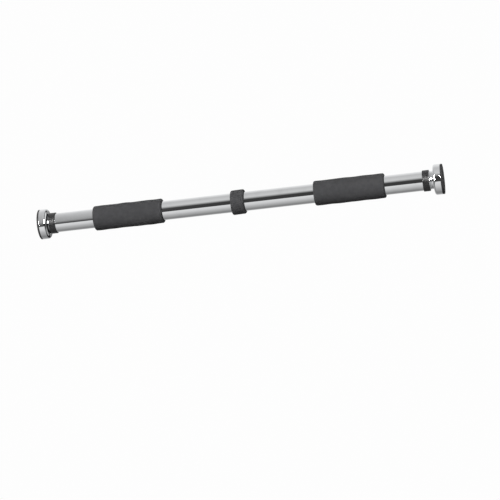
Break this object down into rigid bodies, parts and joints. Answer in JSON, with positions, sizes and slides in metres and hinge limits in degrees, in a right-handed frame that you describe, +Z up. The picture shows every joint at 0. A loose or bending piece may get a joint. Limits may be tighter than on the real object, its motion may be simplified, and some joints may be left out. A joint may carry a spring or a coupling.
{
  "type": "pull up bar",
  "caption": "Doorway pull up bar: a chromed tube with foam grips, whose ends screw outwards to press round rubber-faced feet against the door frame.",
  "frame": {"origin": "centre of the bar, on its axis", "axes": "+X along the bar towards the end with the right hand thread, +Z up as it hangs in a doorway, -Y towards the person using it"},
  "size_m": [0.683, 0.0506, 0.0506],
  "materials": {
    "chrome": "polished chrome plate on steel tube",
    "foam": "matte closed-cell foam with a fine skin",
    "collar_plastic": "glossy black moulded plastic",
    "pad_rubber": "matte moulded rubber with ring grooves",
    "zinc_steel": "zinc plated steel, satin",
    "nylon": "natural nylon"
  },
  "bodies": {
    "bar": {"coupling_sleeve": "zinc_steel", "centre_ring": "foam", "left_main_tube": "chrome", "right_main_tube": "chrome", "left_upper_set_screw": "zinc_steel", "left_lower_set_screw": "zinc_steel", "right_upper_set_screw": "zinc_steel", "right_lower_set_screw": "zinc_steel", "left_foam_grip": "foam", "right_foam_grip": "foam", "left_thread_nut": "zinc_steel", "right_thread_nut": "zinc_steel", "left_end_collar": "collar_plastic", "right_end_collar": "collar_plastic"},
    "left_carriage": {"left_thrust_washer": "nylon"},
    "left_screw": {"left_adjusting_tube": "chrome", "left_guide_bush": "nylon", "left_neck_sleeve": "chrome", "left_end_plug": "zinc_steel", "left_pivot_screw": "zinc_steel"},
    "left_foot": {"left_foot_cup": "chrome", "left_backing_washer": "zinc_steel", "left_rubber_pad": "pad_rubber"},
    "right_carriage": {"right_thrust_washer": "nylon"},
    "right_screw": {"right_adjusting_tube": "chrome", "right_guide_bush": "nylon", "right_neck_sleeve": "chrome", "right_end_plug": "zinc_steel", "right_pivot_screw": "zinc_steel"},
    "right_foot": {"right_foot_cup": "chrome", "right_backing_washer": "zinc_steel", "right_rubber_pad": "pad_rubber"}
  },
  "joints": [
    {"name": "left_extend", "type": "slide", "parent": "bar", "child": "left_carriage", "axis": [-1, 0, 0], "range_m": [0, 0.105]},
    {"name": "left_screw_turn", "type": "hinge", "parent": "left_carriage", "child": "left_screw", "pos_m": [-0.314, 0, 0], "axis": [1, 0, 0], "range_deg": [0, 4725]},
    {"name": "left_foot_swivel", "type": "hinge", "parent": "left_carriage", "child": "left_foot", "pos_m": [-0.3316, 0, 0], "axis": [1, 0, 0], "continuous": true},
    {"name": "right_extend", "type": "slide", "parent": "bar", "child": "right_carriage", "axis": [1, 0, 0], "range_m": [-0.0048, 0.1002]},
    {"name": "right_screw_turn", "type": "hinge", "parent": "right_carriage", "child": "right_screw", "pos_m": [0.314, 0, 0], "axis": [1, 0, 0], "range_deg": [-216, 4509]},
    {"name": "right_foot_swivel", "type": "hinge", "parent": "right_carriage", "child": "right_foot", "pos_m": [0.3316, 0, 0], "axis": [1, 0, 0], "continuous": true}
  ],
  "couplings": [
    {"joint": "left_screw_turn", "follows": "left_extend", "rad_per_m": 785.4},
    {"joint": "right_screw_turn", "follows": "right_extend", "rad_per_m": 785.4}
  ]
}
